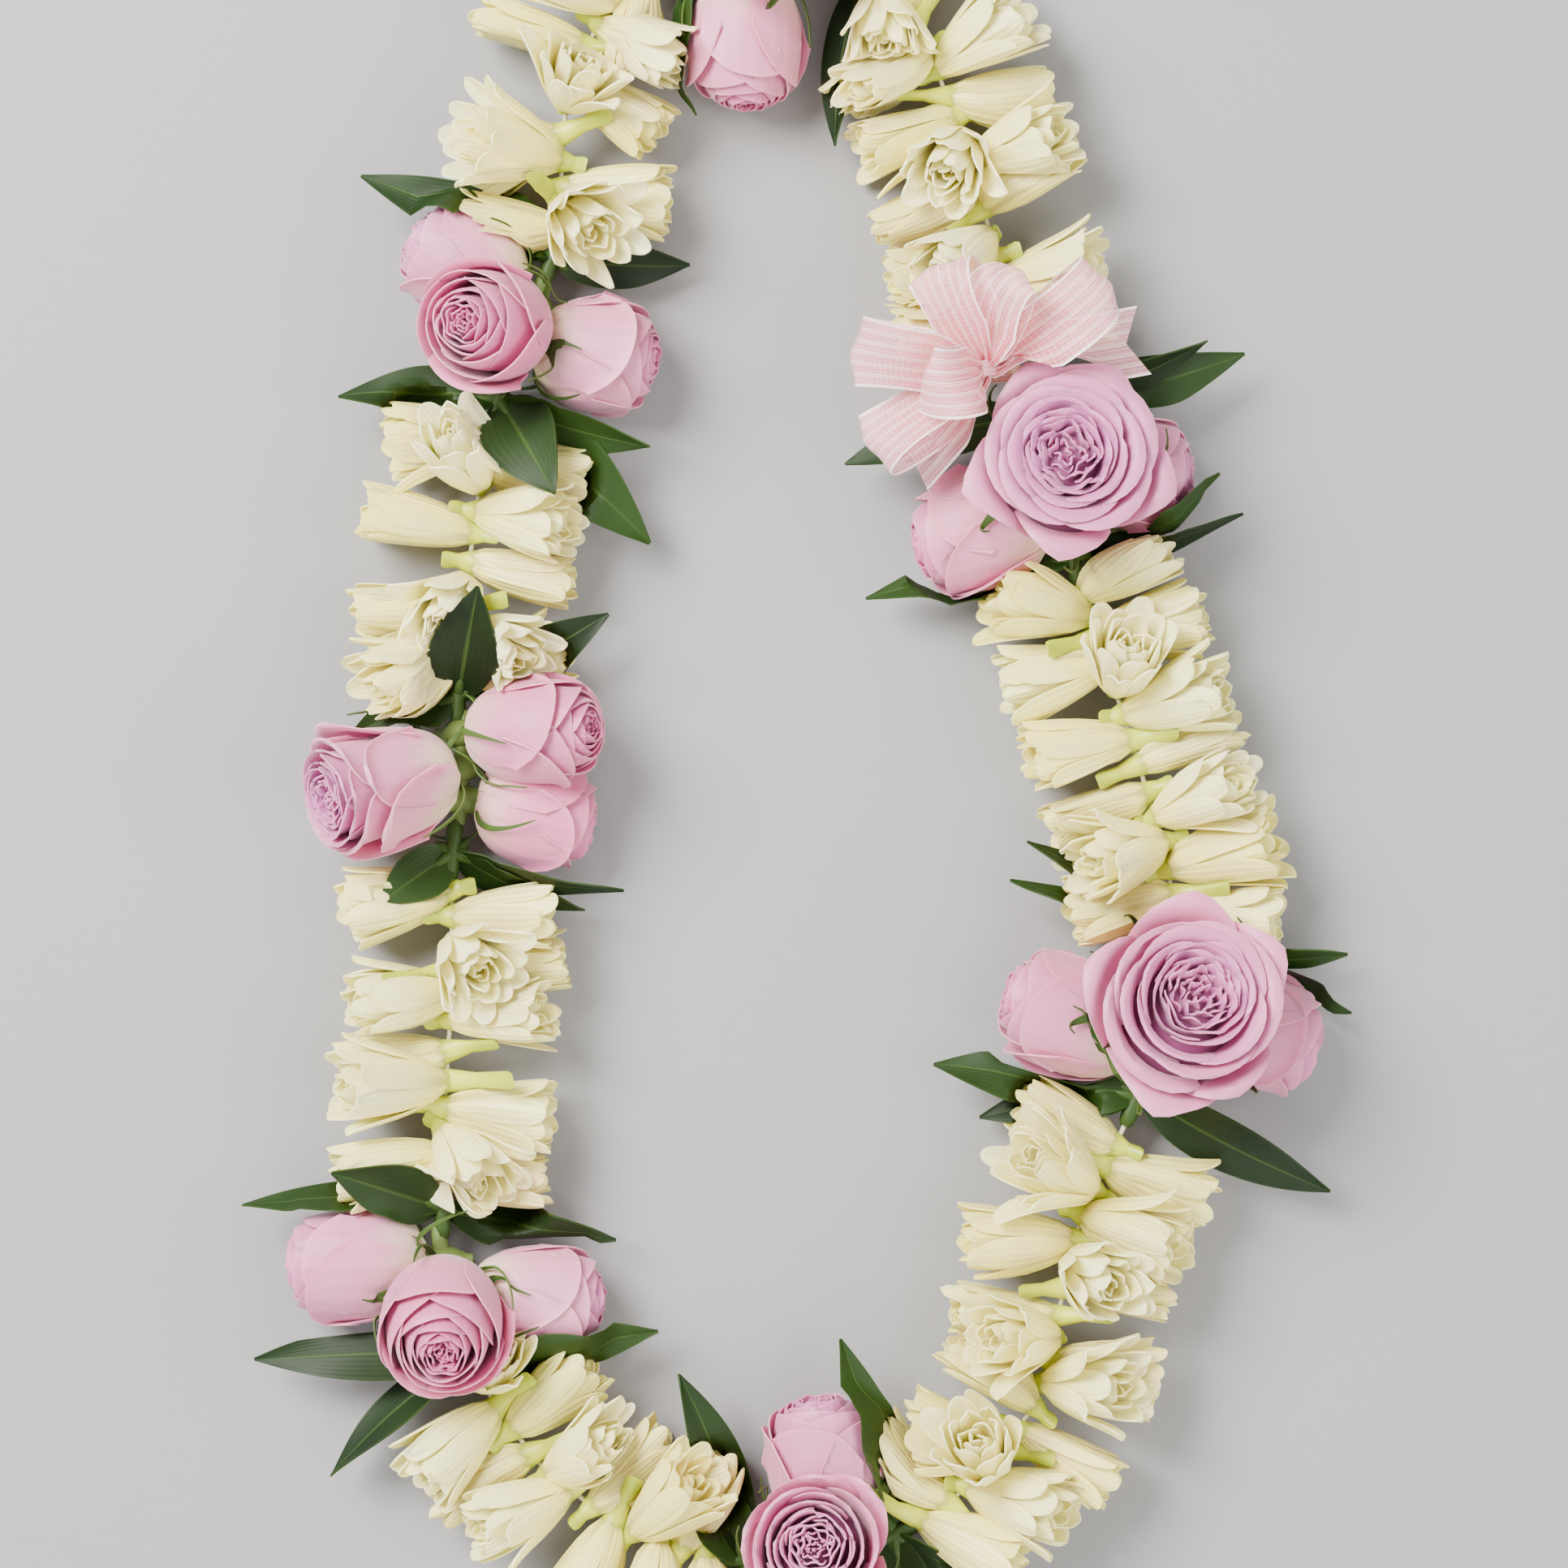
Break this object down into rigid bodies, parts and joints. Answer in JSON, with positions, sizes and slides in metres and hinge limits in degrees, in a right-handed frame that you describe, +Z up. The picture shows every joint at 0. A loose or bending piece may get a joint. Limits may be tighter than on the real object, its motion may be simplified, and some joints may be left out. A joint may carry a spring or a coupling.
{
  "type": "flower garland",
  "caption": "Closed garland of tuberose blooms with spray roses between pointed leaves, strung on one thread and tied with a sheer ribbon bow.",
  "frame": {"origin": "on the surface under the middle of the loop's bounding box, at rest", "axes": "+X to the right and +Y to the top of the loop as the picture shows it, +Z up from the surface it lies on"},
  "size_m": [0.2878, 0.5026, 0.059],
  "materials": {
    "thread": "plain twisted cotton, matt",
    "tuberose": "waxy ivory petals, soft satin, yellow-green towards the tube",
    "rose": "velvety lavender-pink petals, matt, paler at the base",
    "calyx": "green hips and sepals, satin",
    "leaf": "smooth dark green leaf, glossy, with fine parallel veins",
    "ribbon": "sheer pale pink organza with woven satin stripes"
  },
  "bodies": {
    "root": {"calyxes_bottom": "calyx", "calyxes_left_high": "calyx", "calyxes_left_low": "calyx", "calyxes_left_middle": "calyx", "calyxes_right_high": "calyx", "calyxes_right_low": "calyx", "calyxes_top": "calyx", "leaves_bottom_a": "leaf", "leaves_bottom_b": "leaf", "leaves_left_high_a": "leaf", "leaves_left_high_b": "leaf", "leaves_left_low_a": "leaf", "leaves_left_low_b": "leaf", "leaves_left_middle_a": "leaf", "leaves_left_middle_b": "leaf", "leaves_right_high_a": "leaf", "leaves_right_high_b": "leaf", "leaves_right_low_a": "leaf", "leaves_right_low_b": "leaf", "leaves_top_a": "leaf", "leaves_top_b": "leaf", "ribbon_bow": "ribbon", "rose_bottom_inner": "rose", "rose_bottom_middle": "rose", "rose_bottom_outer": "rose", "rose_left_high_inner": "rose", "rose_left_high_middle": "rose", "rose_left_high_outer": "rose", "rose_left_low_inner": "rose", "rose_left_low_middle": "rose", "rose_left_low_outer": "rose", "rose_left_middle_inner": "rose", "rose_left_middle_middle": "rose", "rose_left_middle_outer": "rose", "rose_right_high_inner": "rose", "rose_right_high_middle": "rose", "rose_right_high_outer": "rose", "rose_right_low_inner": "rose", "rose_right_low_middle": "rose", "rose_right_low_outer": "rose", "rose_top_inner": "rose", "rose_top_middle": "rose", "rose_top_outer": "rose", "thread": "thread", "tuberoses_a1": "tuberose", "tuberoses_a2": "tuberose", "tuberoses_b1": "tuberose", "tuberoses_b2": "tuberose", "tuberoses_c1": "tuberose", "tuberoses_c2": "tuberose", "tuberoses_d1": "tuberose", "tuberoses_d2": "tuberose", "tuberoses_e1": "tuberose", "tuberoses_e2": "tuberose", "tuberoses_e3": "tuberose", "tuberoses_f1": "tuberose", "tuberoses_f2": "tuberose", "tuberoses_g1": "tuberose", "tuberoses_g2": "tuberose", "tuberoses_g3": "tuberose"}
  },
  "joints": []
}
